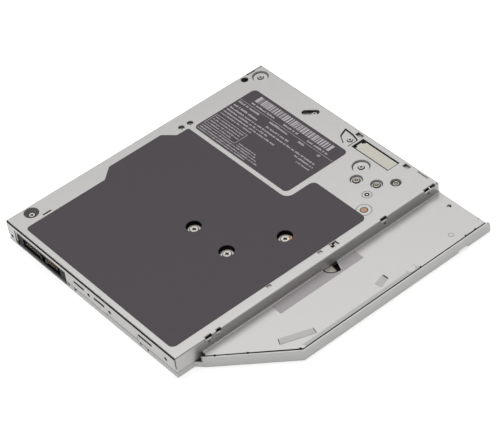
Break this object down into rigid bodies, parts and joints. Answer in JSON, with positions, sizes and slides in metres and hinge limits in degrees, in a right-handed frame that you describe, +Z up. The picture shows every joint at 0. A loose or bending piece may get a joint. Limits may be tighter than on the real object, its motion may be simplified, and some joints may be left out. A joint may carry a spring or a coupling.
{
  "type": "slot-loading dvd drive",
  "caption": "Slim slot-loading optical disc drive lying with its service side up, with a swinging disc traverse, geared cam slider, laser sled and disc levers inside.",
  "frame": {"origin": "bottom centre of the bounding box, on the outer face of the top cover the drive lies on", "axes": "+X is the drive's right with the connector at the rear, along the slot; +Y is its front, where the disc slot is; +Z is up, out of the service side with the film and label"},
  "size_m": [0.128, 0.1288, 0.0096],
  "materials": {
    "plated_sheet": "satin light grey plated sheet with a fine grain",
    "cover_sheet": "plain satin plated sheet",
    "film": "dark grey matt film",
    "circuit_board": "green solder mask, satin",
    "plated_part": "plain plated steel part",
    "screw_metal": "bright nickel plate",
    "dark_plastic": "black moulded plastic, matt",
    "amber_film": "amber film, glossy",
    "contact_metal": "thin gold plate",
    "white_plastic": "white moulded plastic",
    "motor_case": "nickel plated can",
    "cream_foam": "cream foam pad",
    "copper_pin": "copper coloured plate",
    "felt": "black felt",
    "cast_metal": "grey die cast metal",
    "polished_rod": "ground and polished steel",
    "bearing_metal": "sintered bronze and brass",
    "magnet": "dark bonded magnet",
    "rubber_pad": "black rubber, matt",
    "lens_glass": "clear moulded lens",
    "gear_plastic": "natural acetal"
  },
  "bodies": {
    "chassis": {"base_chassis": "plated_sheet", "top_cover": "cover_sheet", "insulating_film": "film", "rating_label": "film", "main_board": "circuit_board", "board_shield": "film", "board_spacers": "plated_part", "board_screws": "screw_metal", "board_parts": "dark_plastic", "ribbon_cable": "amber_film", "sata_connector": "dark_plastic", "sata_contacts": "contact_metal", "inner_deck": "plated_part", "pivot_brackets": "plated_part", "pivot_bushes": "white_plastic", "case_screws": "screw_metal", "loading_motor": "motor_case", "motor_cap": "white_plastic", "motor_pad": "cream_foam", "gear_posts": "screw_metal", "lever_post": "copper_pin", "lever_pivots": "screw_metal", "disc_switch": "dark_plastic", "slot_felts": "felt"},
    "traverse": {"traverse_frame": "cast_metal", "lift_pin": "screw_metal", "guide_rods": "polished_rod", "sled_motor": "motor_case", "motor_plate": "plated_part", "traverse_screws": "screw_metal", "motor_flex": "amber_film", "spindle_bearing": "bearing_metal", "stator_core": "plated_part"},
    "rotor": {"spindle_rotor": "plated_part", "rotor_magnet": "magnet", "spindle_shaft": "polished_rod", "turntable_pad": "rubber_pad", "spindle_hub": "cast_metal", "hub_claws": "white_plastic"},
    "screw": {"lead_screw": "polished_rod"},
    "sled": {"pickup_body": "cast_metal", "pickup_lid": "film", "drive_nut": "white_plastic"},
    "lens": {"lens_holder": "dark_plastic", "objective_lens": "lens_glass"},
    "slider": {"cam_slider": "white_plastic"},
    "pinion": {"rack_pinion": "gear_plastic"},
    "idler": {"idler_gear": "gear_plastic"},
    "wheel": {"worm_wheel": "gear_plastic"},
    "motor_rotor": {"motor_shaft": "polished_rod", "worm": "bearing_metal"},
    "loading_arm": {"loading_lever": "plated_part", "roller_pin": "screw_metal"},
    "roller": {"loading_roller": "rubber_pad"},
    "eject_arm": {"eject_lever": "plated_part", "eject_tip": "white_plastic"},
    "guide_arm": {"guide_lever": "plated_part", "guide_tip": "white_plastic"},
    "switch_arm": {"switch_lever": "white_plastic"}
  },
  "joints": [
    {"name": "cam_slide", "type": "slide", "parent": "chassis", "child": "slider", "axis": [0, -1, 0], "range_m": [0, 0.009]},
    {"name": "traverse_lift", "type": "hinge", "parent": "chassis", "child": "traverse", "pos_m": [-0.02999, 0.04241, 0.0069], "axis": [0.8156, 0.5786, 0], "range_deg": [0, 1.99]},
    {"name": "pinion_turn", "type": "hinge", "parent": "chassis", "child": "pinion", "pos_m": [0.0272, 0.05165, 0.0056], "axis": [0, 0, 1], "range_deg": [-156.58, 0]},
    {"name": "idler_turn", "type": "hinge", "parent": "chassis", "child": "idler", "pos_m": [0.0226, 0.0461, 0.0066], "axis": [0, 0, 1], "range_deg": [0, 131.88]},
    {"name": "wheel_turn", "type": "hinge", "parent": "chassis", "child": "wheel", "pos_m": [0.0272, 0.05165, 0.007], "axis": [0, 0, 1], "range_deg": [-342.72, 0]},
    {"name": "worm_turn", "type": "hinge", "parent": "chassis", "child": "motor_rotor", "pos_m": [0.0272, 0.057, 0.00695], "axis": [1, 0, 0], "range_deg": [-4282.8, 0]},
    {"name": "spindle_spin", "type": "hinge", "parent": "traverse", "child": "rotor", "pos_m": [0.0001, 0, 0.0049], "axis": [0, 0, 1], "continuous": true},
    {"name": "sled_travel", "type": "slide", "parent": "traverse", "child": "sled", "axis": [-0.5786, 0.8156, 0], "range_m": [0, 0.033]},
    {"name": "screw_turn", "type": "hinge", "parent": "traverse", "child": "screw", "pos_m": [-0.00669, 0.03809, 0.0069], "axis": [-0.5786, 0.8156, 0], "range_deg": [-3960.1, 0]},
    {"name": "lens_focus", "type": "slide", "parent": "sled", "child": "lens", "axis": [0, 0, -1], "range_m": [-0.0003, 0.0004], "stiffness_N_per_m": 40},
    {"name": "loading_swing", "type": "hinge", "parent": "chassis", "child": "loading_arm", "pos_m": [0.0297, 0.0331, 0.0037], "axis": [0, 0, 1], "range_deg": [-45, 0], "stiffness_Nm_per_rad": 0.004},
    {"name": "roller_spin", "type": "hinge", "parent": "loading_arm", "child": "roller", "pos_m": [0.05427, 0.05031, 0.0022], "axis": [0, 0, 1], "continuous": true},
    {"name": "eject_swing", "type": "hinge", "parent": "chassis", "child": "eject_arm", "pos_m": [-0.042, -0.0474, 0.0037], "axis": [0, 0, 1], "range_deg": [0, 40], "stiffness_Nm_per_rad": 0.004},
    {"name": "guide_swing", "type": "hinge", "parent": "chassis", "child": "guide_arm", "pos_m": [-0.056, 0.0536, 0.0037], "axis": [0, 0, 1], "range_deg": [-25, 0], "stiffness_Nm_per_rad": 0.003},
    {"name": "switch_swing", "type": "hinge", "parent": "chassis", "child": "switch_arm", "pos_m": [0.0151, 0.0426, 0.0056], "axis": [0, 0, 1], "range_deg": [-8, 8], "stiffness_Nm_per_rad": 0.001}
  ],
  "couplings": [
    {"joint": "traverse_lift", "follows": "cam_slide", "rad_per_m": 3.8446},
    {"joint": "pinion_turn", "follows": "cam_slide", "rad_per_m": -303.46},
    {"joint": "idler_turn", "follows": "cam_slide", "rad_per_m": 255.55},
    {"joint": "wheel_turn", "follows": "cam_slide", "rad_per_m": -664.42},
    {"joint": "worm_turn", "follows": "cam_slide", "rad_per_m": -8305.2},
    {"joint": "screw_turn", "follows": "sled_travel", "rad_per_m": -2094.4}
  ]
}
